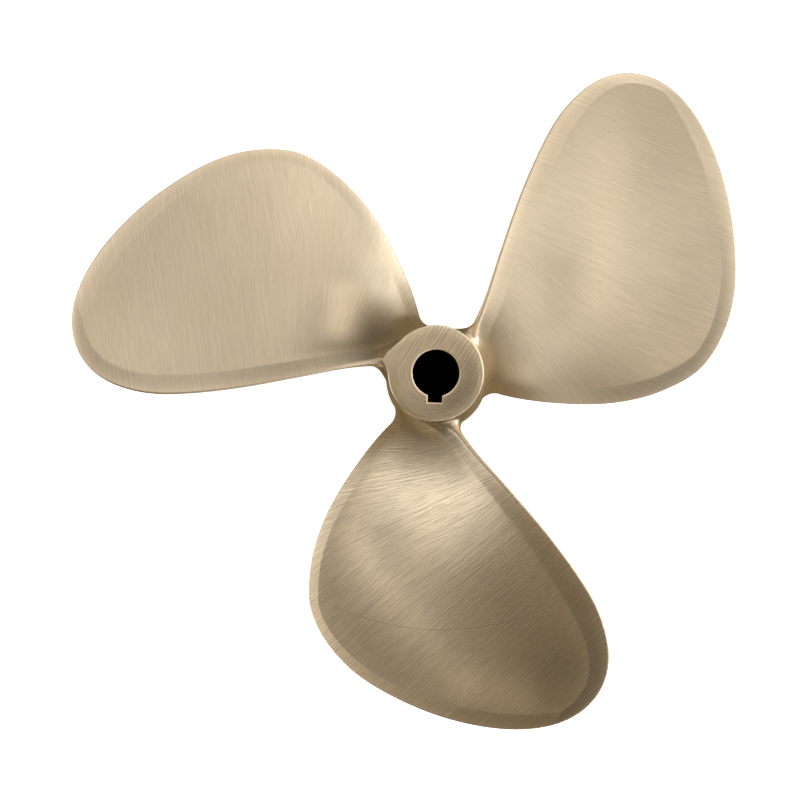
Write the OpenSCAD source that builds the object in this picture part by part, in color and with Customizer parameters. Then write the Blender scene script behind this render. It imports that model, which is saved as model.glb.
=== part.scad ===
// Boat propeller: a right-hand, three-bladed bronze screw for a keyed taper shaft.
// Z is the shaft axis. The aft end, with the shaft nut's face, is up. The origin is the centre of
// the hub's forward face, the large end of the bore. Blade 1 stands over the keyway, on -Y.

/* [Propeller] */
// Diameter of the circle swept by the blade tips
prop_d = 406.4; // [396:0.2:420]
// Pitch, the advance in one turn
pitch = 355.6; // [330:0.2:370]
// Lean of the blades towards the aft end, in degrees
rake = 1.5; // [0:0.1:3]
// Height at which the blades' centre line meets the shaft axis
blade_z = 69.5; // [68:0.5:71]

/* [Hub] */
// Length of the hub along the shaft
hub_len = 95.25; // [93:0.25:98]
// Metal between the bore and the outside of the hub
hub_wall = 13.5; // [12.5:0.1:15]
// Round along the two rims of the hub
hub_round = 1.2; // [0.5:0.1:2]

/* [Bore] */
// Diameter of the bore at its large, forward end
bore_d = 31.75; // [29:0.05:33]
// Length of shaft in which the bore's diameter changes by 1
taper_ratio = 16; // [14:1:20]
// Width of the keyway
key_w = 7.94; // [6:0.02:8.5]
// Depth of the keyway, measured at its side
key_depth = 3.97; // [3:0.01:4.5]
// Bevel at each mouth of the bore
bore_bevel = 0.6; // [0.3:0.1:1]

/* [Blade] */
// Greatest thickness of the blade at the hub
root_t = 15; // [12:0.5:16]
// Thickness of the blade's edge at the hub
root_edge_t = 5; // [4:0.5:6]
// Thickness of the blade at the tip
tip_t = 2.4; // [2:0.1:3]
// Width of the ground band inside the edge of the aft face
band_w = 9; // [6:0.5:12]
// How far the ground band falls away at the edge
band_drop = 0.6; // [0.3:0.1:0.8]
// Radius of the fillet between the hub and the sides of the blade
side_fillet = 14; // [10:1:15]
// Radius of the fillet between the hub and the edges of the blade
edge_fillet = 8; // [6:1:9]

/* [Hidden] */

// Distances of the blade's edge from its centre line along the arc at each station, in
// millimetres on the standard propeller. They go from the leading edge at the shaft axis, round
// the tip, which is the middle one, to the trailing edge at the axis.
edge_table = [
    0, -30, -51, -65, -70.5, -66.5, -44, -5.5, 28.5, 55,
    75.5,
    90.5, 101, 106, 105, 98, 84.5, 66, 42.5, 15, -11
];
edge_steps = 10;
standard_r = 203.2;

blade_count = 3;
first_blade_angle = -90;

tip_r = prop_d / 2;
wall_slope = 1 / (2 * taper_ratio);
bore_r_fore = bore_d / 2;
bore_r_aft = bore_r_fore - hub_len * wall_slope;
root_r = hub_r(blade_z);

// Divisions of the blade's mesh: along each side of a section, across the foot,
// up the fillet, and from there to the tip
side_div = 24;
foot_div = 16;
fillet_div = 6;
span_div = 26;
loop_n = 2 * side_div;
row_n = fillet_div + span_div;

// The blade's foot stays this far off the hub, so that its flat facets don't cut the round hub
foot_gap = 0.05;
// Half the step in w over which the slope of the edge is taken
slope_step = 0.01;
// How far the keyway's cutter runs past both ends of the hub
cut_over = 5;
hub_fn = 96;

// Outer radius of the hub at a height
function hub_r(z) = bore_d / 2 - z * wall_slope + hub_wall;

// Cubic through a table's values, at position t counted in steps
function smooth(p, t) =
    let(
        k = min(max(floor(t), 0), len(p) - 2),
        u = t - k,
        a = p[max(k - 1, 0)],
        b = p[k],
        c = p[k + 1],
        d = p[min(k + 2, len(p) - 1)]
    )
    b + u * (c - a + u * (2 * a - 5 * b + 4 * c - d + u * (3 * (b - c) + d - a))) / 2;

// Stations are counted by w, with r = tip_r * (1 - w * w), which spreads them evenly round the
// tip. w is negative on the leading edge, zero at the tip and positive on the trailing edge.
function station(r) = sqrt(max(0, 1 - r / tip_r));
function edge_at(w) = smooth(edge_table, (w + 1) * edge_steps) * tip_r / standard_r;
function edge_slope(w) = (edge_at(w + slope_step) - edge_at(w - slope_step)) / (2 * slope_step);

function taper_to_tip(r) = min(1, (tip_r - r) / (tip_r - root_r));
function thickness(r) = tip_t + (root_t - tip_t) * taper_to_tip(r);
function edge_t(r) = tip_t + (root_edge_t - tip_t) * pow(taper_to_tip(r), 4);
function pitch_angle(r) = atan(pitch / (2 * PI * r));

// Share of the chord at step j of a side, closer together near both edges
function chord_share(j) =
    let(t = j / side_div)
    t <= 0.5 ? 4 * pow(t, 3) : 1 - 4 * pow(1 - t, 3);

// Distance to the blade's outline of a point this far along the chord from an edge
function to_outline(along, w, r) =
    let(k = 2 * abs(w) * tip_r)
    along * k / norm([k, edge_slope(w) / cos(pitch_angle(r))]);

// Half the thickness that the rounded edge takes away, at distance d from the outline
function rounding(d, e) = e - sqrt(e * e - pow(e - min(d, e), 2));

// One point of a section, as [along the chord, towards the forward side]. Steps 0 to side_div
// go over the aft side from leading to trailing edge, and the rest come back on the other side.
function section_point(r, j) =
    let(
        w = station(r),
        aft = j <= side_div,
        f = chord_share(aft ? j : loop_n - j),
        chord = (edge_at(w) - edge_at(-w)) / cos(pitch_angle(r)),
        d = min(to_outline(f * chord, -w, r), to_outline((1 - f) * chord, w, r)),
        e = (edge_t(r) - band_drop) / 2,
        band = band_drop * (1 - min(d / band_w, 1)),
        back = edge_t(r) + (thickness(r) - edge_t(r)) * 4 * f * (1 - f)
    )
    [f * chord, aft ? band + rounding(d, e) : back - rounding(d, e)];

// Outward direction of a section at step j
function section_normal(r, j) =
    let(
        t = section_point(r, (j + 1) % loop_n) - section_point(r, (j + loop_n - 1) % loop_n)
    )
    [t[1], -t[0]] / norm(t);

// How far the fillet stands out from the section at step j, at height d over the hub
function fillet_out(d, j) =
    let(
        f = chord_share(j <= side_div ? j : loop_n - j),
        rho = edge_fillet + (side_fillet - edge_fillet) * sqrt(4 * f * (1 - f))
    )
    d < rho ? rho - sqrt(rho * rho - pow(rho - d, 2)) : 0;

// Height of row i over the hub, measured at the blade's centre line
function row_height(i) =
    i <= fillet_div
        ? side_fillet * (1 - cos(90 * i / fillet_div))
        : let(w = station(root_r + side_fillet) * (row_n - i) / span_div)
          tip_r * (1 - w * w) - root_r;

// One point of the blade as [angle, height, radius], angle 0 on the centre line. Near the hub
// the rows follow its taper, and the fillet is ground flush with the hub's aft face.
function blade_point(i, j) =
    let(
        d = row_height(i),
        r = root_r + d,
        p = section_point(r, j) + (i < fillet_div ? fillet_out(d, j) * section_normal(r, j) : [0, 0]),
        phi = pitch_angle(r),
        lead = edge_at(-station(r)),
        arc = lead + p[0] * cos(phi) + p[1] * sin(phi),
        rise = lead * tan(phi) + p[0] * sin(phi) - p[1] * cos(phi),
        z_free = blade_z + r * tan(rake) + rise,
        z = i < fillet_div ? min(z_free, hub_len) : z_free
    )
    [arc / r * 180 / PI, z, r + foot_gap * taper_to_tip(r) + (hub_r(z) - root_r) * taper_to_tip(r)];

// One point of the blade's foot, on the hub, between the two sides of the section at step j
function foot_point(j, k) =
    let(
        a = blade_point(0, j),
        b = blade_point(0, loop_n - j),
        p = a + (b - a) * k / foot_div
    )
    [p[0], p[1], hub_r(p[1]) + foot_gap];

function to_xyz(p) = [p[2] * cos(p[0]), p[2] * sin(p[0]), p[1]];

function side_id(i, j) = i * loop_n + j % loop_n;
function tip_id() = row_n * loop_n;
function foot_id(j, k) =
    j == 0 || k == 0 ? side_id(0, j)
    : j == side_div || k == foot_div ? side_id(0, loop_n - j)
    : tip_id() + 1 + (j - 1) * (foot_div - 1) + k - 1;

blade_points = [
    for (i = [0:row_n - 1], j = [0:loop_n - 1]) to_xyz(blade_point(i, j)),
    to_xyz(blade_point(row_n, 0)),
    for (j = [1:side_div - 1], k = [1:foot_div - 1]) to_xyz(foot_point(j, k))
];

blade_faces = [
    for (i = [0:row_n - 2], j = [0:loop_n - 1]) each [
        [side_id(i, j), side_id(i, j + 1), side_id(i + 1, j + 1)],
        [side_id(i, j), side_id(i + 1, j + 1), side_id(i + 1, j)]
    ],
    for (j = [0:loop_n - 1]) [side_id(row_n - 1, j), side_id(row_n - 1, j + 1), tip_id()],
    for (j = [0:side_div - 1], k = [0:foot_div - 1]) each [
        if (j > 0) [foot_id(j, k), foot_id(j, k + 1), foot_id(j + 1, k)],
        if (j < side_div - 1) [foot_id(j, k + 1), foot_id(j + 1, k + 1), foot_id(j + 1, k)]
    ]
];

// Outline of the hub's wall, revolved round the shaft axis
module hub_wall_outline() {
    polygon([
        [bore_r_fore + bore_bevel, 0],
        [hub_r(0) - hub_round, 0],
        [hub_r(hub_round), hub_round],
        [hub_r(hub_len - hub_round), hub_len - hub_round],
        [hub_r(hub_len) - hub_round, hub_len],
        [bore_r_aft + bore_bevel, hub_len],
        [bore_r_aft + bore_bevel * wall_slope, hub_len - bore_bevel],
        [bore_r_fore - bore_bevel * wall_slope, bore_bevel]
    ]);
    translate([hub_r(0) - hub_round, hub_round]) circle(r = hub_round, $fn = hub_fn);
    translate([hub_r(hub_len) - hub_round, hub_len - hub_round]) circle(r = hub_round, $fn = hub_fn);
}

// The keyway runs the whole length and keeps the slope of the bore's wall
module keyway() {
    floor_r = sqrt(pow(bore_r_aft, 2) - pow(key_w / 2, 2)) + key_depth;
    translate([0, -floor_r, hub_len])
        rotate([-atan(wall_slope), 0, 0])
            translate([-key_w / 2, 0, -hub_len - cut_over])
                cube([key_w, floor_r, hub_len + 2 * cut_over]);
}

module hub() {
    color("#bba878")
        difference() {
            rotate_extrude($fn = hub_fn) hub_wall_outline();
            keyway();
        }
}

// Blade number i, counted in the direction in which the screw's helix rises
module blade(i) {
    color("#c9bb98")
        rotate([0, 0, first_blade_angle + 360 / blade_count * (i - 1)])
            polyhedron(points = blade_points, faces = blade_faces, convexity = 8);
}

hub();
blade(1);  // blade_1
blade(2);  // blade_2
blade(3);  // blade_3
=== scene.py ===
"""Looks of the boat propeller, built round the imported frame."""
from math import cos, pi, radians, sin, tan

import bpy
import numpy as np
from mathutils import Matrix, Vector


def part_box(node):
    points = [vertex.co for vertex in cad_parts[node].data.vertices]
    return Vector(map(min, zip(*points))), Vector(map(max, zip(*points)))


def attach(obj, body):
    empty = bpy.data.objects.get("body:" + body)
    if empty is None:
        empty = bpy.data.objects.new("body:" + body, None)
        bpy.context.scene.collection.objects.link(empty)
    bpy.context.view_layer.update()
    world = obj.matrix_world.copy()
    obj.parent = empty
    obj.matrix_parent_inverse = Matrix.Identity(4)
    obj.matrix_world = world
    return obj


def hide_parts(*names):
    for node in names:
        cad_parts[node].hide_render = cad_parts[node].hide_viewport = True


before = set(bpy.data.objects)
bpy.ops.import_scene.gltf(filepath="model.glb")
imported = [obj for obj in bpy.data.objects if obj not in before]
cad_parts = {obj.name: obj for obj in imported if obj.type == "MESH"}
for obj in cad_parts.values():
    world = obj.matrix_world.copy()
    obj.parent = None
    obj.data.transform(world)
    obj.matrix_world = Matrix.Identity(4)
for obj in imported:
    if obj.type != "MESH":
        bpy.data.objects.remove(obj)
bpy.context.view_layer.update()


_, hub_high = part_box("hub")

# ---------------------------------------------------------------- sizes, in metres and degrees
MM = 0.001
BLADES = ("blade_1", "blade_2", "blade_3")
FIRST_BLADE = -90
BLADE_STEP = 120

# The outline's standard radius, and the one used: a hair less, which keeps this finer skin
# inside the box of the CAD body
STANDARD_R = 203.2 * MM
TIP_R = 203.1 * MM
PITCH = 355.6 * MM
RAKE = 1.5
BLADE_Z = 69.5 * MM

HUB_LEN = hub_high.z
TAPER = 1 / 32
HUB_R_FORE = hub_high.x
HUB_ROUND = 1.2 * MM
BORE_R_FORE = HUB_R_FORE - 13.5 * MM
KEY_W = 7.94 * MM
KEY_DEPTH = 3.97 * MM
BORE_BEVEL = 0.6 * MM

ROOT_T = 15 * MM
ROOT_EDGE_T = 5 * MM
TIP_T = 2.4 * MM
# How fast the edge thins from the hub outwards, as a power
EDGE_FADE = 7
BAND_DROP = 0.9 * MM
SIDE_FILLET = 14 * MM
EDGE_FILLET = 8 * MM

# The blade's edge, as distances from its centre line along the arc in millimetres: from the
# leading edge at the shaft axis, round the tip, to the trailing edge at the axis
EDGE_TABLE = np.array([
    0, -30, -51, -65, -70.5, -66.5, -44, -5.5, 28.5, 55,
    75.5,
    90.5, 101, 106, 105, 98, 84.5, 66, 42.5, 15, -11,
]) * MM
EDGE_STEPS = 10

# Keeps a division away from zero
TINY = 1e-12


# ---------------------------------------------------------------- outline of the hub and blades
def hub_r(z):
    """Outer radius of the hub at height z."""
    return HUB_R_FORE - z * TAPER


def bore_r(z):
    """Radius of the bore at height z."""
    return BORE_R_FORE - z * TAPER


ROOT_R = hub_r(BLADE_Z)


def smooth(table, t):
    """Cubic through a table's values, at positions t counted in steps."""
    k = np.clip(np.floor(t).astype(int), 0, len(table) - 2)
    u = t - k
    a = table[np.maximum(k - 1, 0)]
    b = table[k]
    c = table[k + 1]
    d = table[np.minimum(k + 2, len(table) - 1)]
    return b + u * (c - a + u * (2 * a - 5 * b + 4 * c - d + u * (3 * (b - c) + d - a))) / 2


def soft_ramp(x, soft=0.07):
    """Zero below 0 and x above it, with the corner rounded off."""
    eased = (x + soft) ** 2 / (4 * soft)
    return np.where(x <= -soft, 0, np.where(x >= soft, x, eased))


# Stations are counted by w, with r = TIP_R * (1 - w * w), which spreads them evenly round the
# tip. w is negative on the leading edge, zero at the tip and positive on the trailing edge.
def station(r):
    """Size of w at a radius."""
    return np.sqrt(np.maximum(0, 1 - r / TIP_R))


def edge_at(w):
    """Distance of the outline from the centre line, along the arc."""
    return smooth(EDGE_TABLE, (w + 1) * EDGE_STEPS) * TIP_R / STANDARD_R


def edge_slope(w, step=0.01):
    """How fast that distance changes with w."""
    return (edge_at(w + step) - edge_at(w - step)) / (2 * step)


def to_outline(along, w, phi):
    """Distance to the outline of a point this far along the chord from an edge."""
    k = 2 * np.abs(w) * TIP_R
    return along * k / np.hypot(k, edge_slope(w) / np.cos(phi))


# ---------------------------------------------------------------- surface of the blades
# Divisions of a blade's skin: over one side of a section, up the fillet, and on to the tip
SIDE_DIV = 150
FILLET_DIV = 22
SPAN_DIV = 170
# How much closer together the columns are near both edges: 0 for evenly spaced, 1 at most
CROWDING = 0.86


def row_radii():
    """Radii of the blade's rows at mid height: up the fillet, then evenly in w to the tip."""
    turn = np.linspace(0, pi / 2, FILLET_DIV + 1)
    fillet = ROOT_R + SIDE_FILLET * (1 - np.cos(turn))
    w = np.linspace(float(station(ROOT_R + SIDE_FILLET)), 0, SPAN_DIV + 1)[1:]
    return np.concatenate([fillet, TIP_R * (1 - w * w)])


def chord_shares():
    """Shares of the chord, closer together near both edges."""
    t = np.linspace(0, 1, SIDE_DIV + 1)
    return t - CROWDING * np.sin(2 * pi * t) / (2 * pi)


# The grinder left each aft face slightly wavy. The waves fade in over the calm edge from the
# blade's outline. Above the hub they do so over the same length, but start this share of it up.
WAVES = 9
WAVE_HEIGHT = 0.035 * MM
WAVE_LENGTHS = (34 * MM, 80 * MM)
CALM_EDGE = 20 * MM
CALM_HUB = 0.5


def waviness(x, y, seed):
    """A few crossed waves of different length and direction."""
    rng = np.random.default_rng(seed)
    total = 0 * x
    for _ in range(WAVES):
        length = rng.uniform(*WAVE_LENGTHS)
        turn, phase = rng.uniform(0, 2 * pi, 2)
        run = x * cos(turn) + y * sin(turn)
        total = total + np.sin(2 * pi * run / length + phase) * length / WAVE_LENGTHS[1]
    return total * WAVE_HEIGHT


# Single features of an aft face, blade by blade, in the blade's own X and Y counted in tip
# radii: the two ends of a crest, half its width, and its height. A crest with both ends alike is
# a round bump.
RIDGES = (
    (((0.47, -0.10), (0.80, 0.17), 0.08, 0.7 * MM), ((0.60, -0.30), (0.92, -0.03), 0.08, -0.7 * MM)),
    (((0.42, 0.05), (0.80, 0.20), 0.10, 0.3 * MM),),
    (((0.366, 0.093), (0.366, 0.093), 0.011, 0.3 * MM), ((0.28, -0.03), (0.40, 0.12), 0.05, 0.2 * MM)),
)

# Painted highlights and painted shade on the aft faces, which stand for reflections of the lamps and,
# in part, for the bronze's own uneven tone; given in the same way, with a tone in place of a height
PAINTED_LIGHT_ZONES = (
    (
        ((0.46, -0.22), (0.84, 0.10), 0.05, 0.20), ((0.84, 0.34), (0.78, 0.42), 0.09, -0.20),
        ((0.21, -0.02), (0.24, 0.06), 0.07, -0.26), ((0.56, 0.18), (0.74, 0.32), 0.10, -0.20),
        ((0.62, -0.24), (0.82, -0.10), 0.07, -0.14), ((0.33, -0.10), (0.33, 0.10), 0.06, 0.06),
        ((0.46, 0.02), (0.50, -0.02), 0.07, 0.14), ((0.30, -0.17), (0.36, -0.22), 0.06, 0.20),
        ((0.84, 0.14), (0.86, 0.26), 0.06, 0.30), ((0.45, -0.13), (0.53, -0.10), 0.05, -0.16),
    ),
    (
        ((0.50, 0.0), (0.70, 0.30), 0.07, 0.14), ((0.37, 0.0), (0.44, 0.08), 0.07, -0.13),
        ((0.20, -0.10), (0.17, -0.04), 0.05, 0.32), ((0.62, -0.22), (0.80, 0.0), 0.08, -0.04),
        ((0.16, 0.07), (0.16, 0.07), 0.04, 0.10), ((0.60, -0.30), (0.60, -0.30), 0.08, 0.14),
        ((0.56, 0.30), (0.74, 0.40), 0.08, 0.05),
    ),
    (
        ((0.32, -0.05), (0.29, 0.03), 0.05, 0.56), ((0.54, -0.14), (0.45, -0.12), 0.14, 0.08),
        ((0.20, 0.0), (0.25, 0.09), 0.07, -0.46), ((0.17, -0.06), (0.17, -0.09), 0.05, 0.2),
        ((0.35, 0.03), (0.33, 0.14), 0.06, -0.17), ((0.90, 0.02), (0.86, 0.26), 0.10, -0.06),
        ((0.26, -0.18), (0.26, -0.18), 0.05, -0.25),
    ),
)


def features(x, y, table):
    """Sum of a table's features at a point of a blade."""
    total = 0 * x
    for start, end, half, height in table:
        (x0, y0), (x1, y1) = np.array(start) * TIP_R, np.array(end) * TIP_R
        run = max((x1 - x0) ** 2 + (y1 - y0) ** 2, TINY)
        share = np.clip(((x - x0) * (x1 - x0) + (y - y0) * (y1 - y0)) / run, 0, 1)
        away = np.hypot(x - x0 - share * (x1 - x0), y - y0 - share * (y1 - y0))
        total = total + height * np.exp(-(away / (half * TIP_R)) ** 2)
    return total


# Width of the ground band, blade by blade, at five places round the edge: the leading edge at
# the hub and half way out, the tip, and the trailing edge half way out and at the hub
BAND_WIDTHS = np.array([
    [8, 7.5, 11, 12, 5],
    [9, 11.5, 7.5, 9, 8],
    [9, 9, 13, 9.5, 7],
]) * MM

# Painted light and shade on the ground band beside the rest of the aft face, for the way its slope
# catches the lamps, at nine places round the edge: those five, and the four between them
BAND_PAINTED_LIGHT = np.array([
    [1.36, 1.12, 1.38, 0.94, 0.62, 0.56, 0.72, 0.90, 0.35],
    [1.42, 0.85, 0.58, 1.10, 0.60, 1.14, 1.28, 1.08, 1.05],
    [1.42, 0.80, 1.14, 1.00, 1.16, 0.84, 0.86, 0.72, 0.52],
])
# Above this tone the bronze would reflect more light than it gets
LIGHTEST_TONE = 1.42

# Distances from the edge counted in widths of the band: where its tone ends and over what
# distance, from where the zones fade in, and inside what distance a painted highlight lightens the
# edge
BAND_END = 1.02
BAND_SOFT = 0.05
ZONE_START = 0.6
HIGHLIGHT_REACH = 0.8
# How much that painted highlight adds, growing towards the edge
EDGE_HIGHLIGHT = 0.5


def band_place(index, w, d_lead, d_trail):
    """Distance from the nearer edge in widths of the band, and the place round the edge."""
    at_lead, at_trail = 2 - 2 * w, 2 + 2 * w
    from_lead = d_lead / smooth(BAND_WIDTHS[index], at_lead)
    from_trail = d_trail / smooth(BAND_WIDTHS[index], at_trail)
    return np.minimum(from_lead, from_trail), np.where(from_lead < from_trail, at_lead, at_trail)


def blade_painted_light(index, own_x, own_y, inside, place):
    """Painted light and shade on an aft face: its zones, and its ground band over them."""
    tone = 1 + features(own_x, own_y, PAINTED_LIGHT_ZONES[index]) * np.clip(inside - ZONE_START, 0, 1)
    band_tone = smooth(BAND_PAINTED_LIGHT[index], 2 * place)
    band_tone = band_tone + EDGE_HIGHLIGHT * np.clip(HIGHLIGHT_REACH - inside, 0, 1) ** 2
    in_band = np.clip((BAND_END - inside) / BAND_SOFT, 0, 1)
    return np.minimum(tone + (band_tone - tone) * in_band, LIGHTEST_TONE)


def edge_rounding(d, e):
    """What a rounded edge of half thickness e takes away, at distance d from the outline."""
    return e - np.sqrt(np.maximum(e * e - (e - np.minimum(d, e)) ** 2, 0))


def root_fillet(f, along, out, over_hub):
    """Moves the sections near the hub outwards along their normals, by the fillet's swell."""
    step_a = np.roll(along, -1, 1) - np.roll(along, 1, 1)
    step_o = np.roll(out, -1, 1) - np.roll(out, 1, 1)
    size = np.maximum(np.hypot(step_a, step_o), TINY)
    rho = EDGE_FILLET + (SIDE_FILLET - EDGE_FILLET) * np.sqrt(4 * f * (1 - f))
    swell = rho - np.sqrt(np.maximum(rho * rho - np.maximum(rho - over_hub, 0) ** 2, 0))
    return along + swell * step_o / size, out - swell * step_a / size


# The trailing edge's root on blade_3 stands up to the hub's aft face, where it is ground flush:
# how much it is raised, over what distance from the edge and from the hub, and how much of that
# its forward side is raised
FLUSH_BLADE = 2
FLUSH_LIFT = 4.0 * MM
FLUSH_REACH = (13 * MM, 8 * MM)
FLUSH_FORWARD = 0.4


def flush_lift(aft, d_trail, over_hub):
    """How much higher blade_3 stands near its trailing root."""
    near = (d_trail / FLUSH_REACH[0]) ** 2 + (over_hub / FLUSH_REACH[1]) ** 2
    return np.where(aft, FLUSH_LIFT, FLUSH_LIFT * FLUSH_FORWARD) * np.exp(-near)


def blade_grid(index):
    """A blade's skin as a grid of points in its own frame, and the painted light and shade on its
    bronze.

    Rows run from the hub to the tip. Columns go over the aft side from the leading to the
    trailing edge, and come back on the forward side.
    """
    r = row_radii()[:, None]
    share = chord_shares()
    f = np.concatenate([share, share[-2:0:-1]])[None, :]
    aft = (np.arange(2 * SIDE_DIV) <= SIDE_DIV)[None, :]
    w = station(r)
    over_hub = r - ROOT_R
    to_tip = np.minimum(1, (TIP_R - r) / (TIP_R - ROOT_R))
    phi = np.arctan(PITCH / (2 * pi * r))

    # Place along the chord, and distances from the outline
    lead = edge_at(-w)
    chord = (edge_at(w) - lead) / np.cos(phi)
    along = f * chord
    d_lead = to_outline(along, -w, phi)
    d_trail = to_outline((1 - f) * chord, w, phi)
    d = np.minimum(d_lead, d_trail)
    inside, place = band_place(index, w, d_lead, d_trail)
    own_angle = (lead + along * np.cos(phi)) / r
    own_x, own_y = r * np.cos(own_angle), r * np.sin(own_angle)
    tone = np.where(aft, blade_painted_light(index, own_x, own_y, inside, place), 1.0)

    # Height of the two sides over the chord line, towards the forward side
    edge_t = TIP_T + (ROOT_EDGE_T - TIP_T) * to_tip ** EDGE_FADE
    thick = TIP_T + (ROOT_T - TIP_T) * to_tip
    rounding = edge_rounding(d, (edge_t - BAND_DROP) / 2)
    band = BAND_DROP * soft_ramp(1 - inside)
    back = edge_t + (thick - edge_t) * 4 * f * (1 - f)
    calm = np.clip(np.minimum(d / CALM_EDGE, over_hub / CALM_EDGE - CALM_HUB), 0, 1)
    wave = (waviness(own_x, own_y, index) - features(own_x, own_y, RIDGES[index])) * calm
    out = np.where(aft, band + rounding + wave, back - rounding)
    along, out = root_fillet(f, along, out, over_hub)

    # Wrapped round the shaft
    arc = lead + along * np.cos(phi) + out * np.sin(phi)
    z = BLADE_Z + r * tan(radians(RAKE)) + lead * np.tan(phi)
    z = z + along * np.sin(phi) - out * np.cos(phi)
    if index == FLUSH_BLADE:
        z = z + flush_lift(aft, d_trail, over_hub)
    z = np.where(over_hub < SIDE_FILLET, np.minimum(z, HUB_LEN), z)
    radius = r + (hub_r(z) - ROOT_R) * to_tip
    theta = arc / r
    points = np.stack([radius * np.cos(theta), radius * np.sin(theta), z], -1)
    return points, tone


# ---------------------------------------------------------------- meshes
def mesh_object(name, points, faces):
    """A smooth-shaded object in the scene."""
    mesh = bpy.data.meshes.new(name)
    mesh.from_pydata([tuple(p) for p in points], [], faces)
    mesh.validate()
    mesh.shade_smooth()
    obj = bpy.data.objects.new(name, mesh)
    bpy.context.scene.collection.objects.link(obj)
    return obj


def point_field(obj, name, values):
    """Stores one number, or one vector, on each vertex."""
    values = np.asarray(values, np.float32)
    kind = "FLOAT_VECTOR" if values.ndim == 2 else "FLOAT"
    attribute = obj.data.attributes.new(name, kind, "POINT")
    attribute.data.foreach_set("vector" if values.ndim == 2 else "value", values.ravel())


def blade_faces(rows, cols):
    """Faces of a blade's skin: its sides, the fan round the tip, and the foot on the hub."""
    ids = np.arange((rows - 1) * cols).reshape(rows - 1, cols)
    nxt = np.roll(ids, -1, 1)
    quads = np.stack([ids[:-1], ids[1:], nxt[1:], nxt[:-1]], -1).reshape(-1, 4)
    faces = [tuple(q) for q in quads.tolist()]
    tip_id = (rows - 1) * cols
    faces += [(a, tip_id, b) for a, b in zip(ids[-1].tolist(), nxt[-1].tolist())]
    half = cols // 2
    foot = ids[0].tolist()
    faces += [
        (foot[j], foot[j + 1], foot[cols - j - 1], foot[(cols - j) % cols])
        for j in range(1, half - 1)
    ]
    faces += [(foot[0], foot[1], foot[-1]), (foot[half - 1], foot[half], foot[half + 1])]
    return faces


def blade_piece(index, node):
    """A blade's skin, which replaces its CAD node."""
    points, tone = blade_grid(index)
    rows, cols, _ = points.shape
    own = np.vstack([points[:-1].reshape(-1, 3), points[-1, 0]])
    turn = radians(FIRST_BLADE + BLADE_STEP * index)
    spin = np.array([[cos(turn), sin(turn), 0], [-sin(turn), cos(turn), 0], [0, 0, 1]])
    obj = mesh_object(node + "_skin", own @ spin, blade_faces(rows, cols))
    point_field(obj, "own", own)
    point_field(obj, "tone", np.append(tone[:-1].ravel(), 1))
    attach(obj, "root")
    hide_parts(node)
    return obj


# ---------------------------------------------------------------- hub
# Distance of the keyway's floor from the axis at the aft face, the round of the corners between
# bore and keyway, the angle either side of the keyway that has the finest columns, and the wider
# one in which its outline is looked for
SLOT_FLOOR_AFT = float(np.sqrt(bore_r(HUB_LEN) ** 2 - (KEY_W / 2) ** 2)) + KEY_DEPTH
SLOT_SOFT = 0.35 * MM
SLOT_SPAN = 22
SLOT_REACH = 60
LEAST_SINE = 1e-3
# The aft face is flat inside this radius, and falls away by this much at the rim
FACE_FLAT_R = 20 * MM
FACE_CROWN = 0.35 * MM
# The bevel at the aft face is worn shallow, and the painted shade of the bore starts this far below it
AFT_BEVEL = 0.3 * MM
DARK_STEP = 0.3 * MM
# Where the root of blade_3 is ground flush with the aft face, the rim is sharper: the middle
# of that sector and half its width in degrees, and the share of the round that is missing
FLUSH_TURN = 162
FLUSH_HALF = 20
FLUSH_SHARP = 0.7
# There the aft face widens into a shoulder, which runs out along the trailing edge: its middle,
# how far it takes to rise and to fall in degrees, how far it stands out, and between which
# heights it runs out below
SHOULDER_TURN = 168
SHOULDER_RISE = 16
SHOULDER_FALL = 8
SHOULDER_OUT = 3.4 * MM
SHOULDER_Z = (72 * MM, 92 * MM)
# Divisions of the hub's skin: each rounded rim, the aft face, the wall, the forward face, the
# bore, and the columns near the keyway and elsewhere
ROUND_DIV = 8
FACE_DIV = 27
WALL_DIV = 33
FORE_SHARES = (0.33, 0.66, 1)
BORE_DIV = 9
SLOT_COLUMNS = 137
OTHER_COLUMNS = 260


def mouth_r(turn, z, grow=0.0):
    """Polar radius of the bore with its keyway, at an angle from the keyway's middle."""
    bore = bore_r(z) + grow
    floor = SLOT_FLOOR_AFT + (HUB_LEN - z) * TAPER + grow
    near = np.abs(turn) < radians(SLOT_REACH)
    safe = np.where(near, turn, 0)
    side = (KEY_W / 2 + grow) / np.maximum(np.abs(np.sin(safe)), LEAST_SINE)
    bottom = floor / np.cos(safe)
    slot = np.where(near, (side + bottom - np.hypot(side - bottom, SLOT_SOFT)) / 2, 0)
    return (bore + slot + np.hypot(bore - slot, SLOT_SOFT)) / 2


def degrees_past(turn, middle):
    """Degrees by which a column lies past an azimuth, from -180 to 180."""
    return np.degrees((turn + radians(FIRST_BLADE - middle) + pi) % (2 * pi) - pi)


def aft_rows(turn, corner, crown, rim):
    """Rows of the aft face from the bore's mouth to the rim, and round the rim."""
    rows = []
    mouth = mouth_r(turn, HUB_LEN, BORE_BEVEL)
    for share in np.linspace(0, 1, FACE_DIV + 1):
        radius = mouth + (rim - mouth) * share
        past = np.maximum(0, radius - FACE_FLAT_R) / (rim - FACE_FLAT_R)
        rows.append((radius, HUB_LEN - crown * past ** 2))
    for q in np.linspace(0, pi / 2, ROUND_DIV + 1)[1:]:
        low = crown + (HUB_ROUND - crown) * (1 - cos(q)) if q < pi / 2 else HUB_ROUND
        rows.append((rim + corner * sin(q), HUB_LEN - np.minimum(low, crown + corner * (1 - cos(q)))))
    return rows


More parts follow.
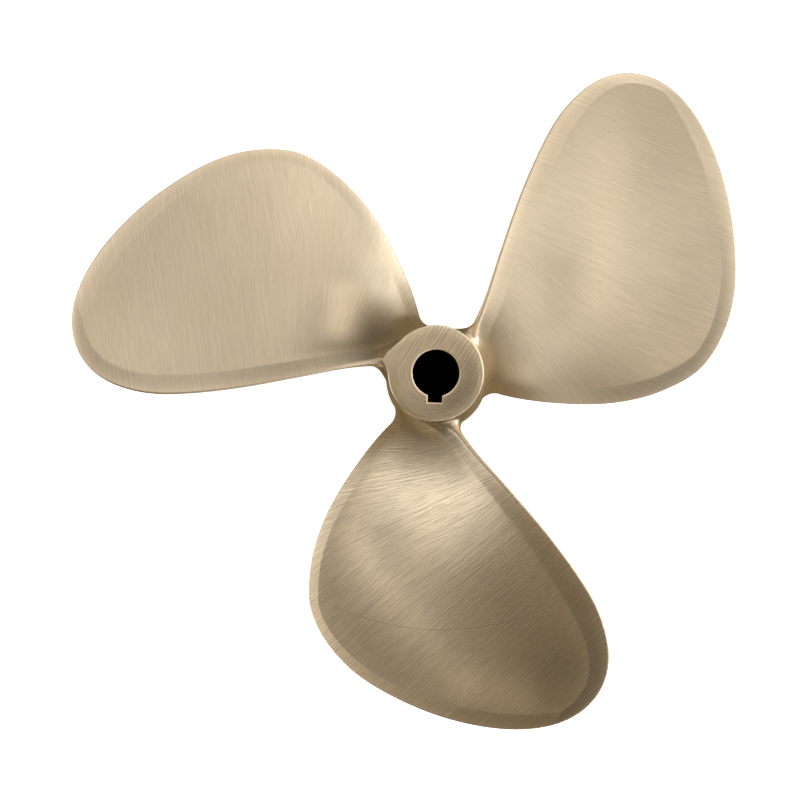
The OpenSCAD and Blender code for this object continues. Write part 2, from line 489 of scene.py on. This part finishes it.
def hub_rows(turn):
    """Rows of the hub's skin as (radius, z) round the shaft: aft face, wall, forward face, bore."""
    full = 1 - FLUSH_SHARP * np.exp(-(degrees_past(turn, FLUSH_TURN) / FLUSH_HALF) ** 4)
    corner, crown = HUB_ROUND * full, FACE_CROWN * full
    off = degrees_past(turn, SHOULDER_TURN)
    out = SHOULDER_OUT * np.exp(-(off / np.where(off < 0, SHOULDER_RISE, SHOULDER_FALL)) ** 2)
    rows = aft_rows(turn, corner, crown, hub_r(HUB_LEN - HUB_ROUND) - corner + out)
    for z in np.linspace(HUB_LEN - HUB_ROUND, HUB_ROUND, WALL_DIV + 1)[1:]:
        share = np.clip((z - SHOULDER_Z[0]) / (SHOULDER_Z[1] - SHOULDER_Z[0]), 0, 1)
        rows.append((hub_r(z) + out * share ** 2, z))
    fore = hub_r(HUB_ROUND) - HUB_ROUND
    for q in np.linspace(0, pi / 2, ROUND_DIV + 1)[1:]:
        rows.append((fore + HUB_ROUND * cos(q), HUB_ROUND * (1 - sin(q))))
    mouth = mouth_r(turn, 0, BORE_BEVEL)
    for share in FORE_SHARES:
        rows.append((fore + (mouth - fore) * share, 0))
    for z in np.linspace(BORE_BEVEL, HUB_LEN - AFT_BEVEL - DARK_STEP, BORE_DIV + 1):
        rows.append((mouth_r(turn, z), z))
    rows.append((mouth_r(turn, HUB_LEN - AFT_BEVEL), HUB_LEN - AFT_BEVEL))
    shape = np.ones_like(turn)
    return np.array([[r * shape, z * shape] for r, z in rows])


# Tones of the aft face and of the wall, and the painted highlight on the bevel at the bore's mouth
FACE_TONE = 1.24
WALL_TONE = 1.35
BEVEL_HIGHLIGHT = 1.45
# A painted shade darkens the face in part of a ring round the bore: its radius, half width, middle and
# spread in degrees, and how much darker
RING_R = 18 * MM
RING_HALF = 6 * MM
RING_TURN = -42
RING_SPREAD = 70
RING_PAINTED_SHADE = 0.42
# Painted light also makes it lighter towards one side: the azimuth of that side, and how much at the
# rim
FACE_LIGHT_TURN = 125
FACE_PAINTED_LIGHT = 0.2
# Depths below the aft face at which the finish of the face gives way to that of the wall
FACE_FINISH = (0.4 * MM, 0.8 * MM)
# Half the angle of the keyway with some room, and how close to a surface counts as on it
SLOT_HALF = 18
NEAR_WALL = 0.1 * MM
NEAR_BEVEL = 0.05 * MM
SHARP_ANGLE = 28


def face_tone(theta, radius):
    """Tone of the aft face at an azimuth and a radius, with its painted shade and painted light."""
    around = (np.degrees(theta) - RING_TURN + 180) % 360 - 180
    ring = np.exp(-((radius - RING_R) / RING_HALF) ** 2 - (around / RING_SPREAD) ** 2)
    lean = np.cos(theta - radians(FACE_LIGHT_TURN)) * radius / HUB_R_FORE
    return np.minimum(FACE_TONE + FACE_PAINTED_LIGHT * lean - RING_PAINTED_SHADE * ring, LIGHTEST_TONE)


def in_bore(turn, radius, z):
    """True in the bore and the keyway, below the bevel at the aft face."""
    slot_wall = (np.abs(turn) < radians(SLOT_HALF)) & (radius < mouth_r(0 * turn, z) + NEAR_WALL)
    bore_wall = radius < bore_r(z) + NEAR_WALL
    below = (z < HUB_LEN - AFT_BEVEL - DARK_STEP / 2) & (z > BORE_BEVEL / 2)
    return (bore_wall | slot_wall) & below


def hub_piece():
    """The hub's skin, which replaces its CAD node."""
    fine = np.linspace(-SLOT_SPAN, SLOT_SPAN, SLOT_COLUMNS)
    coarse = np.linspace(SLOT_SPAN, 360 - SLOT_SPAN, OTHER_COLUMNS)[1:-1]
    turn = np.radians(np.concatenate([fine, coarse]))
    turn = (turn + pi) % (2 * pi) - pi
    rows = hub_rows(turn)
    count, _, around = rows.shape
    theta = np.tile(turn + radians(FIRST_BLADE), count)
    turn = np.tile(turn, count)
    radius, z = rows[:, 0].ravel(), rows[:, 1].ravel()
    points = np.stack([radius * np.cos(theta), radius * np.sin(theta), z], -1)
    ids = np.arange(count * around).reshape(count, around)
    down, nxt = np.roll(ids, -1, 0), np.roll(ids, -1, 1)
    quads = np.stack([ids, down, np.roll(down, -1, 1), nxt], -1).reshape(-1, 4)
    obj = mesh_object("hub_skin", points, [tuple(q) for q in quads.tolist()])
    obj.data.set_sharp_from_angle(angle=radians(SHARP_ANGLE))

    shallow, deep = FACE_FINISH
    bevel = np.abs(radius - mouth_r(turn, HUB_LEN, BORE_BEVEL)) < NEAR_BEVEL
    # Tones of the wall and the face, with painted shade and light on the face and a painted highlight
    # on the bevel
    tone = np.where(z < HUB_LEN - HUB_ROUND, WALL_TONE, face_tone(theta, radius))
    tone = np.where(bevel & (z > HUB_LEN / 2), BEVEL_HIGHLIGHT, tone)
    point_field(obj, "own", points)
    point_field(obj, "face", np.clip((z - HUB_LEN + deep) / (deep - shallow), 0, 1))
    point_field(obj, "bore", in_bore(turn, radius, z).astype(float))
    point_field(obj, "tone", tone)
    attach(obj, "root")
    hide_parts("hub")
    return obj


# ---------------------------------------------------------------- shader nodes
def add(tree, kind, inputs=None, out=0, **settings):
    """Adds a node, links or sets its inputs, and returns one of its outputs."""
    made = tree.nodes.new(kind)
    for key, value in settings.items():
        setattr(made, key, value)
    for key, value in (inputs or {}).items():
        if isinstance(value, bpy.types.NodeSocket):
            tree.links.new(value, made.inputs[key])
        else:
            made.inputs[key].default_value = value
    return made.outputs[out]


def calc(tree, operation, a, b=0.0, c=0.0):
    return add(tree, "ShaderNodeMath", {0: a, 1: b, 2: c}, operation=operation)


def both_of(tree, a, b):
    return calc(tree, "MULTIPLY", a, b)


def axis(tree, where, number):
    """X, Y or Z of a vector, by its number."""
    return add(tree, "ShaderNodeSeparateXYZ", {0: where}, out=number)


def vector_length(tree, where):
    """Length of a vector: the distance from the origin, or from the axis if it is flattened."""
    return add(tree, "ShaderNodeVectorMath", {0: where}, out=1, operation="LENGTH")


def own_place(tree):
    """The vertex's place in the piece's own frame."""
    return add(tree, "ShaderNodeAttribute", out=1, attribute_name="own")


def number_field(tree, name):
    """A number stored on the vertices."""
    return add(tree, "ShaderNodeAttribute", out=2, attribute_name=name)


def noise(tree, where, scale, detail=2.0, roughness=0.5, shift=0.0):
    """Noise at a place. Another shift gives another pattern."""
    moved = add(tree, "ShaderNodeVectorMath", {0: where, 1: (shift, shift * 0.7, shift * 1.3)})
    return add(
        tree, "ShaderNodeTexNoise",
        {"Vector": moved, "Scale": scale, "Detail": detail, "Roughness": roughness},
    )


def remap(tree, value, low, high, to_low=0.0, to_high=1.0, kind="SMOOTHSTEP"):
    """Takes values from one range to another, and holds them at its ends."""
    inputs = {0: value, 1: low, 2: high, 3: to_low, 4: to_high}
    return add(tree, "ShaderNodeMapRange", inputs, interpolation_type=kind)


def above(tree, value, limit, soft):
    """1 where value is past limit, 0 below it."""
    return remap(tree, value, limit - soft / 2, limit + soft / 2)


def below(tree, value, limit, soft):
    """1 where value is under limit, 0 past it."""
    return calc(tree, "SUBTRACT", 1.0, above(tree, value, limit, soft))


def blend(tree, share, a, b):
    """Mixes two numbers."""
    return add(tree, "ShaderNodeMix", {0: share, 2: a, 3: b})


def mix(tree, share, a, b, kind="MIX"):
    """Mixes two colours."""
    inputs = {0: share, 6: a, 7: b}
    return add(tree, "ShaderNodeMix", inputs, out=2, data_type="RGBA", blend_type=kind)


def flattened(tree, where):
    """A place moved down to the plane across the shaft axis."""
    return add(tree, "ShaderNodeVectorMath", {0: where, 1: (1, 1, 0)}, operation="MULTIPLY")


def azimuth(tree, where):
    """Angle round the shaft axis, in radians."""
    x, y = axis(tree, where, 0), axis(tree, where, 1)
    return calc(tree, "ARCTAN2", y, x)


# ---------------------------------------------------------------- marks of the tools
# Marks of one belt lie side by side at an even pitch, counted in widths of a mark. They bend a
# little, and come and go along their length.
COMB_PITCH = 3.6
COMB_BEND = 22
COMB_DEPTH = 0.17
# Scales of the noises that bend them and make them come and go, counted in marks, and the share
# of their depth that is left where they are faintest
COMB_BEND_SCALE = 0.07
COMB_PATCH_SCALE = 0.22
COMB_FAINT = 0.1
# Most values of a noise lie in this range
NOISE_RANGE = (0.35, 0.65)


def combed(tree, spot, shift):
    """Random marks with evenly spaced ones among them; X runs across the marks."""
    grain = noise(tree, spot, 1.0, 2.0, 0.6, shift)
    bend = noise(tree, spot, COMB_BEND_SCALE, 1.0, 0.5, shift + 20)
    bend = calc(tree, "MULTIPLY", bend, COMB_BEND)
    turn = calc(tree, "MULTIPLY_ADD", axis(tree, spot, 0), 2 * pi / COMB_PITCH, bend)
    wave = calc(tree, "SINE", turn)
    patches = noise(tree, spot, COMB_PATCH_SCALE, 1.0, 0.5, shift + 40)
    share = remap(tree, patches, *NOISE_RANGE, COMB_FAINT, 1.0)
    return calc(tree, "MULTIPLY_ADD", wave, both_of(tree, share, COMB_DEPTH), grain)


def strokes(tree, where, angle, across, along, shift=0.0):
    """Straight grinding marks: their angle from the Y axis, and one mark's width and length."""
    turned = add(
        tree, "ShaderNodeMapping",
        {"Vector": where, "Rotation": (0, 0, radians(angle)), "Scale": (across, along, along)},
        vector_type="TEXTURE",
    )
    return combed(tree, turned, shift)


def rings(tree, where, distance, across, along, shift=0.0):
    """Marks that run round the shaft axis, told apart by a distance: the radius or the height."""
    spot = add(tree, "ShaderNodeCombineXYZ", {
        0: calc(tree, "DIVIDE", distance, across),
        1: calc(tree, "DIVIDE", axis(tree, where, 0), along),
        2: calc(tree, "DIVIDE", axis(tree, where, 1), along),
    })
    return combed(tree, spot, shift)


# The blade was ground in overlapping passes, each at an angle of its own: from what share of the
# tip's radius a pass starts, and the angle of its marks
PASSES = ((0.0, 1), (0.34, 13), (0.47, 28), (0.60, 42))
# How ragged the passes' borders are and where their middle lies, in tip radii, the scale of
# that raggedness, and half the width over which one pass gives way to the next
PASS_RAGGED = 0.16
PASS_SCALE = 30
PASS_MIDDLE = 0.08
PASS_SOFT = 5 * MM
# Width and length of a mark, and the share of the wide ones among the fine ones
FINE_MARK = (0.38 * MM, 13 * MM)
WIDE_MARK = (1.2 * MM, 30 * MM)
WIDE_SHARE = 0.2
WIDE_TURN = 2
MARKS_MEAN = 0.6
# How far apart the passes' noises are, for the fine and for the wide marks
PASS_SHIFTS = (3.1, 5.3)
# How strong the marks are on the blade that was ground last, and on the others
MARKS_FRESH = 1.1
MARKS_WORN = 0.46


def pass_marks(tree, own, number, angle):
    """Marks of one pass."""
    fine = strokes(tree, own, angle, *FINE_MARK, shift=PASS_SHIFTS[0] * number)
    wide = strokes(tree, own, angle + WIDE_TURN, *WIDE_MARK, shift=PASS_SHIFTS[1] * number)
    return calc(tree, "MULTIPLY_ADD", wide, WIDE_SHARE, fine)


def blade_marks(tree, own):
    """Height of the grinding marks, about -0.5 to 0.5."""
    radius = vector_length(tree, own)
    border = noise(tree, own, PASS_SCALE, 2)
    ragged = calc(tree, "MULTIPLY_ADD", border, PASS_RAGGED * TIP_R, radius)
    marks = pass_marks(tree, own, 0, PASSES[0][1])
    for number, (start, angle) in enumerate(PASSES[1:], 1):
        middle = (start + PASS_MIDDLE) * TIP_R
        share = remap(tree, ragged, middle - PASS_SOFT, middle + PASS_SOFT)
        marks = blend(tree, share, marks, pass_marks(tree, own, number, angle))
    return calc(tree, "SUBTRACT", marks, MARKS_MEAN)


# A gauge line scribed across one blade at seven tenths of the tip's radius, between two azimuths
# in the blade's own frame. It fades over some degrees at both ends.
SCRIBED_BLADE = "blade_1"
SCRIBE_R = 0.70 * TIP_R
SCRIBE_HALF = 0.28 * MM
SCRIBE_SECTOR = (-26, 38)
SCRIBE_FADE = 12
# It is deepest up to the first share of its half width, and gone at the second one
SCRIBE_SHARES = (0.5, 1.6)
# Its depth where it is most and least worn, the scale of the wear, and the noise's range in it
SCRIBE_DEPTHS = (0.25, 0.6)
SCRIBE_WEAR_SCALE = 90
SCRIBE_WEAR = (0.35, 0.6)


def scribe_line(tree, own):
    """Depth of the scribed line, which is worn in places."""
    radius = vector_length(tree, flattened(tree, own))
    away = calc(tree, "ABSOLUTE", calc(tree, "SUBTRACT", radius, SCRIBE_R))
    deep, gone = SCRIBE_SHARES
    cut = remap(tree, away, deep * SCRIBE_HALF, gone * SCRIBE_HALF, 1.0, 0.0)
    turn = azimuth(tree, own)
    start, end = SCRIBE_SECTOR
    first = remap(tree, turn, radians(start), radians(start + SCRIBE_FADE))
    last = remap(tree, turn, radians(end - SCRIBE_FADE), radians(end), 1.0, 0.0)
    wear = noise(tree, own, SCRIBE_WEAR_SCALE, 2, 0.5, 11)
    worn = remap(tree, wear, *SCRIBE_WEAR, *SCRIBE_DEPTHS)
    return both_of(tree, both_of(tree, cut, worn), both_of(tree, first, last))


# The hub's aft face has straight marks across its back half, beyond this Y and at this angle, and
# marks round the bore on the rest. The border between them is ragged.
HUB_MARK_W = 0.42 * MM
STRAIGHT_ANGLE = -29
STRAIGHT_LENGTH = 18 * MM
ROUND_LENGTH = 12 * MM
SPLIT_Y = 5 * MM
SPLIT_RAGGED = 9 * MM
SPLIT_SCALE = 120
SPLIT_SOFT = 3 * MM
WALL_MARK = (0.6 * MM, 25 * MM)
HUB_MARKS_MEAN = 0.5


def hub_marks(tree, own, radius):
    """Height of the marks of the aft face."""
    straight = strokes(tree, own, STRAIGHT_ANGLE, HUB_MARK_W, STRAIGHT_LENGTH, 2.0)
    round_cut = rings(tree, own, radius, HUB_MARK_W, ROUND_LENGTH, 8.0)
    border = noise(tree, own, SPLIT_SCALE, 2)
    edge = calc(tree, "MULTIPLY_ADD", border, SPLIT_RAGGED, axis(tree, own, 1))
    marks = blend(tree, above(tree, edge, SPLIT_Y, SPLIT_SOFT), round_cut, straight)
    return calc(tree, "SUBTRACT", marks, HUB_MARKS_MEAN)


# Short chatter marks beside the bore: their pitch in degrees, how far they lean in radians for
# each metre of radius, the part of their wave that is a pit, their depth, the ring and the
# sector they lie in, and what share of the other marks they have wiped out there
CHATTER_PITCH = 3.9
CHATTER_LEAN = 22.0
CHATTER_PIT = (0.35, 0.95)
CHATTER_DEPTH = 0.85
CHATTER_RING = (17.0 * MM, 22.5 * MM)
CHATTER_SECTOR = (-48, 22)
CHATTER_RING_SOFT = 1.5 * MM
CHATTER_SECTOR_SOFT = 16
CHATTER_WIPED = 0.6


def chatter(tree, radius, turn):
    """The pits of the chatter marks, 1 at their deepest, and the patch that they lie in."""
    lean = calc(tree, "MULTIPLY_ADD", radius, CHATTER_LEAN, turn)
    wave = calc(tree, "SINE", calc(tree, "MULTIPLY", lean, 360 / CHATTER_PITCH))
    pit = remap(tree, wave, *CHATTER_PIT)
    inner = above(tree, radius, CHATTER_RING[0], CHATTER_RING_SOFT)
    outer = below(tree, radius, CHATTER_RING[1], CHATTER_RING_SOFT)
    first = above(tree, turn, radians(CHATTER_SECTOR[0]), radians(CHATTER_SECTOR_SOFT))
    last = below(tree, turn, radians(CHATTER_SECTOR[1]), radians(CHATTER_SECTOR_SOFT))
    patch = both_of(tree, both_of(tree, inner, outer), both_of(tree, first, last))
    return both_of(tree, pit, patch), patch


# ---------------------------------------------------------------- materials
LIGHT_BRONZE = (0.66, 0.545, 0.37, 1)
WARM_BRONZE = (0.65, 0.528, 0.352, 1)
# Painted shade: the walls of the bore and keyway are made almost black, as they lie in shadow
BORE_PAINTED_SHADE = (0.07, 0.035, 0.015, 1)
BORE_ROUGH = 0.75
# Scale and shift of the warmer patches
BLADE_PATCHES = (16, 21)
HUB_PATCHES = (45, 5)
# Heights of the marks, and the shades of the bronze at them; then the same with the roughness
BLADE_SHADES = ((-0.28, 0.28), (0.76, 1.22))
HUB_SHADES = ((-0.25, 0.2), (0.64, 1.27))
ROUGH_HEIGHTS = (-0.3, 0.3)
BLADE_ROUGH = (0.46, 0.34)
HUB_ROUGH = (0.48, 0.34)
FLOOR_WHITE = (0.9, 0.9, 0.9, 1)
# Painted shade: a near-black disc on the floor under the bore
PAD_PAINTED_SHADE = (0.02, 0.009, 0.003, 1)
# Depth of the relief that the marks' height of 1 stands for
BLADE_RELIEF = 0.08 * MM
HUB_RELIEF = 0.1 * MM


def new_material(name, metallic=0.0):
    """A new material, its node tree and its shader."""
    mat = bpy.data.materials.new(name)
    mat.use_nodes = True
    tree = mat.node_tree
    bsdf = tree.nodes["Principled BSDF"]
    bsdf.inputs["Metallic"].default_value = metallic
    return mat, tree, bsdf


def bronze(tree, own, scale, shift):
    """Base colour of the bronze, which turns warmer in patches."""
    patches = remap(tree, noise(tree, own, scale, 3, 0.55, shift), *NOISE_RANGE)
    return mix(tree, patches, LIGHT_BRONZE, WARM_BRONZE)


def shaded(tree, colour, height, heights, shades):
    """Colour made darker in the marks and lighter on their crests, and multiplied by the tone, which
    holds the painted light and shade.
    """
    shade = remap(tree, height, *heights, *shades, "LINEAR")
    shade = both_of(tree, shade, number_field(tree, "tone"))
    grey = add(tree, "ShaderNodeCombineColor", {0: shade, 1: shade, 2: shade})
    return mix(tree, 1.0, colour, grey, "MULTIPLY")


def finish_bronze(tree, bsdf, colour, rough, height, relief):
    """Links colour, roughness and relief to the shader."""
    tree.links.new(colour, bsdf.inputs["Base Color"])
    tree.links.new(rough, bsdf.inputs["Roughness"])
    bump = add(tree, "ShaderNodeBump", {"Strength": 1.0, "Distance": relief, "Height": height})
    tree.links.new(bump, bsdf.inputs["Normal"])


def blade_material(scribed):
    """Ground bronze of the blades, with the scribed line or without it."""
    name = "blade_bronze_scribed" if scribed else "blade_bronze_ground"
    mat, tree, bsdf = new_material(name, 1.0)
    own = own_place(tree)
    height = both_of(tree, blade_marks(tree, own), MARKS_FRESH if scribed else MARKS_WORN)
    if scribed:
        height = calc(tree, "SUBTRACT", height, scribe_line(tree, own))
    colour = shaded(tree, bronze(tree, own, *BLADE_PATCHES), height, *BLADE_SHADES)
    rough = remap(tree, height, *ROUGH_HEIGHTS, *BLADE_ROUGH, "LINEAR")
    finish_bronze(tree, bsdf, colour, rough, height, BLADE_RELIEF)
    return mat


def hub_material():
    """Faced and turned bronze of the hub, with painted shade in the bore."""
    mat, tree, bsdf = new_material("hub_bronze_faced", 1.0)
    own = own_place(tree)
    radius = vector_length(tree, flattened(tree, own))
    bore = number_field(tree, "bore")

    pits, patch = chatter(tree, radius, azimuth(tree, own))
    kept = calc(tree, "MULTIPLY_ADD", patch, -CHATTER_WIPED, 1.0)
    face_marks = both_of(tree, hub_marks(tree, own, radius), kept)
    face_marks = calc(tree, "MULTIPLY_ADD", pits, -CHATTER_DEPTH, face_marks)
    wall_marks = rings(tree, own, axis(tree, own, 2), *WALL_MARK)
    wall_marks = calc(tree, "SUBTRACT", wall_marks, HUB_MARKS_MEAN)
    height = blend(tree, number_field(tree, "face"), wall_marks, face_marks)

    colour = shaded(tree, bronze(tree, own, *HUB_PATCHES), height, *HUB_SHADES)
    colour = mix(tree, bore, colour, BORE_PAINTED_SHADE)
    rough = remap(tree, height, *ROUGH_HEIGHTS, *HUB_ROUGH, "LINEAR")
    rough = blend(tree, bore, rough, BORE_ROUGH)
    finish_bronze(tree, bsdf, colour, rough, height, HUB_RELIEF)
    return mat


def plain_material(name, colour, rough, glow=0.0):
    """Material of one colour, for the stage."""
    mat, _, bsdf = new_material(name)
    bsdf.inputs["Base Color"].default_value = colour
    bsdf.inputs["Roughness"].default_value = rough
    if glow:
        bsdf.inputs["Emission Color"].default_value = (1, 1, 1, 1)
        bsdf.inputs["Emission Strength"].default_value = glow
    return mat


# ---------------------------------------------------------------- stage, light and camera
# Distance from the blades' centre, turns about X, Y and the line of sight, and the lens in
# millimetres
CAM_DISTANCE = 1448 * MM
CAM_TILT = 2.23
CAM_SIDE = 0.265
CAM_ROLL = 2.5
CAM_LENS = 116.8
CAM_SENSOR = 36
# The middle of the picture lies this far from the blades' centre, to the right and up
AIM_RIGHT = -20.1 * MM
AIM_UP = -14.2 * MM


def add_camera():
    data = bpy.data.cameras.new("camera")
    data.lens = CAM_LENS
    data.sensor_width = CAM_SENSOR
    cam = bpy.data.objects.new("camera", data)
    bpy.context.scene.collection.objects.link(cam)
    centre = Vector((0, 0, BLADE_Z + TIP_R / 2 * tan(radians(RAKE))))
    turn = Matrix.Rotation(radians(CAM_TILT), 3, "X") @ Matrix.Rotation(radians(CAM_SIDE), 3, "Y")
    turn = turn @ Matrix.Rotation(radians(CAM_ROLL), 3, "Z")
    back = turn @ Vector((0, 0, 1))
    place = centre + back * CAM_DISTANCE
    aim = centre + turn @ Vector((AIM_RIGHT, AIM_UP, 0))
    look = (place - aim).normalized()
    right = (turn @ Vector((0, 1, 0))).cross(look).normalized()
    up = look.cross(right)
    cam.matrix_world = Matrix.Translation(place) @ Matrix((right, up, look)).transposed().to_4x4()
    bpy.context.scene.camera = cam


# Floor and wall, in metres. The floor glows a little, like a light table, which keeps the
# shadows pale.
FLOOR_GLOW = 0.55
FLOOR_R = 9
FLOOR_CURVE = 4
FLOOR_SIDES = 64
CURVE_DIV = 16
WALL_TOP = 12
PAD_R = BORE_R_FORE + KEY_DEPTH + 2 * MM
PAD_Z = 0.2 * MM
PAD_SIDES = 48


def circle_turns(sides):
    return np.linspace(0, 2 * pi, sides + 1)[:-1]


def add_floor():
    """A round floor that curves up into a wall. The bronze doesn't mirror it."""
    quarter = np.linspace(0, pi / 2, CURVE_DIV + 1)
    profile = [(FLOOR_R - FLOOR_CURVE * (1 - sin(q)), FLOOR_CURVE * (1 - cos(q))) for q in quarter]
    profile.append((FLOOR_R, WALL_TOP))
    points = [(r * cos(t), r * sin(t), z) for r, z in profile for t in circle_turns(FLOOR_SIDES)]
    faces = [tuple(range(FLOOR_SIDES))]
    for row in range(len(profile) - 1):
        for k in range(FLOOR_SIDES):
            a, b = row * FLOOR_SIDES + k, row * FLOOR_SIDES + (k + 1) % FLOOR_SIDES
            faces.append((a, a + FLOOR_SIDES, b + FLOOR_SIDES, b))
    obj = mesh_object("floor", points, faces)
    obj.data.materials.append(plain_material("floor_white", FLOOR_WHITE, 0.9, FLOOR_GLOW))
    obj.visible_glossy = False


def add_pad():
    """A dark disc of painted shade on the floor inside the bore's forward mouth, so that the bore
    reads as deep.
    """
    rim = [(PAD_R * cos(t), PAD_R * sin(t), PAD_Z) for t in circle_turns(PAD_SIDES)]
    obj = mesh_object("pad", rim, [tuple(range(len(rim)))])
    obj.data.materials.append(plain_material("pad_painted_shade", PAD_PAINTED_SHADE, 1))


# Softboxes, each with its direction from the propeller as an azimuth and an angle from straight
# above, its width and height, and its power. A low ring does most of the work, as in a light tent.
LIGHT_DISTANCE = 2.0
SOFTBOXES = {
    "low_left": (180, 80, 3.0, 1.0, 16.5),
    "low_right": (15, 80, 2.0, 1.0, 23),
    "low_front": (300, 80, 3.0, 1.0, 11),
    "low_back": (80, 80, 2.0, 1.0, 5),
    "right_high": (30, 40, 1.0, 1.0, 4.6),
    "right": (0, 60, 1.0, 1.0, 4.2),
    "front": (308, 41, 1.6, 1.0, 4.8),
    "front_low": (315, 60, 2.0, 1.0, 2.3),
    "back": (75, 50, 2.0, 1.7, 6.3),
    "back_left": (125, 38, 1.3, 1.2, 3.6),
    "left": (180, 60, 1.0, 1.0, 1.7),
    "top": (0, 0, 2.2, 2.2, 1.8),
}
LIGHT_TINT = (0.95, 1.0, 1.12)
# What the bronze mirrors where it doesn't mirror a softbox
ROOM_TINT = (1.0, 0.72, 0.32, 1)
ROOM_GLOW = 0.17


def add_softbox(name, turn, off_axis, width, height, watts):
    data = bpy.data.lights.new(name, "AREA")
    data.shape = "RECTANGLE"
    data.size = width
    data.size_y = height
    data.energy = watts
    data.color = LIGHT_TINT
    obj = bpy.data.objects.new(name, data)
    bpy.context.scene.collection.objects.link(obj)
    a, t = radians(turn), radians(off_axis)
    back = Vector((cos(a) * sin(t), sin(a) * sin(t), cos(t)))
    side = Vector((-sin(a), cos(a), 0))
    frame_turn = Matrix((side, back.cross(side), back)).transposed().to_4x4()
    obj.matrix_world = Matrix.Translation(back * LIGHT_DISTANCE) @ frame_turn


def set_world():
    world = bpy.data.worlds.new("studio")
    world.use_nodes = True
    bpy.context.scene.world = world
    back = world.node_tree.nodes["Background"]
    back.inputs["Color"].default_value = ROOM_TINT
    back.inputs["Strength"].default_value = ROOM_GLOW


add_camera()
add_floor()
add_pad()
set_world()
for name, values in SOFTBOXES.items():
    add_softbox(name, *values)
plain, scribed = blade_material(False), blade_material(True)
for index, node in enumerate(BLADES):
    blade_piece(index, node).data.materials.append(scribed if node == SCRIBED_BLADE else plain)
hub_piece().data.materials.append(hub_material())
bpy.context.scene.view_settings.view_transform = "Standard"
